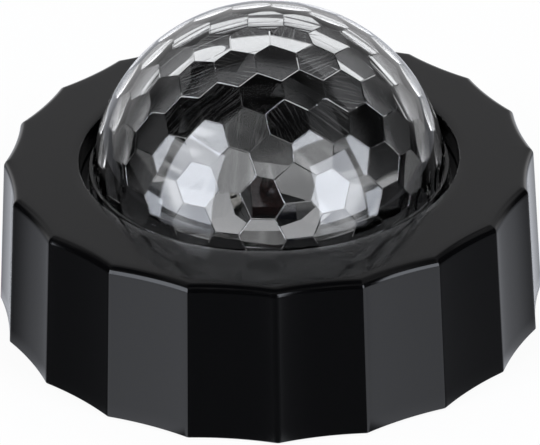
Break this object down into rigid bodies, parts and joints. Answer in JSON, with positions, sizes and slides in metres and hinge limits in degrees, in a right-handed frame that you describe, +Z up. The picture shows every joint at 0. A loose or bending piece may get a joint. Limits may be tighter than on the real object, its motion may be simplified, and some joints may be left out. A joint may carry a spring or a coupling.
{
  "type": "led party light",
  "caption": "Battery party light: a fluted black drum with a clear faceted dome that turns over a chrome dish and colour LEDs.",
  "frame": {"origin": "on the drum's axis, at the surface that the four feet stand on", "axes": "+Z up along the dome's turning axis, +X to the right and +Y to the back as the picture shows the light"},
  "size_m": [0.13, 0.13, 0.0736],
  "materials": {
    "black_gloss": "polished",
    "black_satin": "fine grain",
    "rubber": "matte",
    "clear_plastic": "clear, polished facets",
    "white_nylon": "smooth",
    "grey_plastic": "fine grain",
    "chrome": "vacuum plated",
    "nickel_steel": "bright",
    "black_steel": "blackened",
    "aluminium": "bare",
    "cell_wrap": "satin",
    "board_black": "solder mask",
    "board_green": "solder mask",
    "header_white": "smooth",
    "chip_black": "moulded",
    "led_red": "clear",
    "led_green": "clear",
    "led_blue": "clear",
    "lead_red": "insulated",
    "lead_black": "insulated"
  },
  "bodies": {
    "drum": {"aa_cells": "cell_wrap", "base_cover": "black_satin", "base_screws": "black_steel", "battery_leads": "lead_red", "board_headers": "header_white", "board_screws": "nickel_steel", "chassis": "grey_plastic", "chassis_screws": "nickel_steel", "control_board": "board_green", "control_screws": "nickel_steel", "deck_screws": "black_steel", "driver_chip": "chip_black", "drum_housing": "black_gloss", "gear_deck": "black_satin", "gearmotor": "nickel_steel", "heat_spreader": "aluminium", "led_blue": "led_blue", "led_board": "board_black", "led_green": "led_green", "led_leads": "lead_black", "led_red": "led_red", "minus_contacts": "nickel_steel", "motor_leads": "lead_red", "motor_screws": "nickel_steel", "plus_contacts": "nickel_steel", "reflector": "chrome", "roller_pins": "nickel_steel", "rubber_feet": "rubber", "slide_switch": "nickel_steel", "smoothing_capacitor": "aluminium"},
    "dome_unit": {"faceted_dome": "clear_plastic", "dome_carrier": "black_satin", "clamp_ring": "black_satin", "clamp_screws": "nickel_steel"},
    "drive": {"drive_pinion": "white_nylon", "motor_shaft": "nickel_steel"},
    "roller_a": {"roller_a": "white_nylon"},
    "roller_b": {"roller_b": "white_nylon"},
    "roller_c": {"roller_c": "white_nylon"},
    "power_knob": {"switch_knob": "black_satin"},
    "bay_door": {"battery_door": "black_satin"}
  },
  "joints": [
    {"name": "dome_spin", "type": "hinge", "parent": "drum", "child": "dome_unit", "pos_m": [0, 0, 0.0317], "axis": [0, 0, 1], "continuous": true},
    {"name": "drive_spin", "type": "hinge", "parent": "drum", "child": "drive", "pos_m": [0, 0.0352, 0.0249], "axis": [0, 0, 1], "continuous": true},
    {"name": "roller_a_spin", "type": "hinge", "parent": "drum", "child": "roller_a", "pos_m": [0.04131, 0.02385, 0.02365], "axis": [0.866, 0.5, 0], "continuous": true},
    {"name": "roller_b_spin", "type": "hinge", "parent": "drum", "child": "roller_b", "pos_m": [-0.04131, 0.02385, 0.02365], "axis": [-0.866, 0.5, 0], "continuous": true},
    {"name": "roller_c_spin", "type": "hinge", "parent": "drum", "child": "roller_c", "pos_m": [0, -0.0477, 0.02365], "axis": [0, -1, 0], "continuous": true},
    {"name": "power_slide", "type": "slide", "parent": "drum", "child": "power_knob", "axis": [1, 0, 0], "range_m": [0, 0.0025]},
    {"name": "bay_door_hinge", "type": "hinge", "parent": "drum", "child": "bay_door", "pos_m": [-0.0283, 0, 0.001], "axis": [0, 1, 0], "range_deg": [0, 60]}
  ],
  "couplings": [
    {"joint": "drive_spin", "follows": "dome_spin", "ratio": 8.3333},
    {"joint": "roller_a_spin", "follows": "dome_spin", "ratio": -14.906},
    {"joint": "roller_b_spin", "follows": "dome_spin", "ratio": -14.906},
    {"joint": "roller_c_spin", "follows": "dome_spin", "ratio": -14.906}
  ]
}
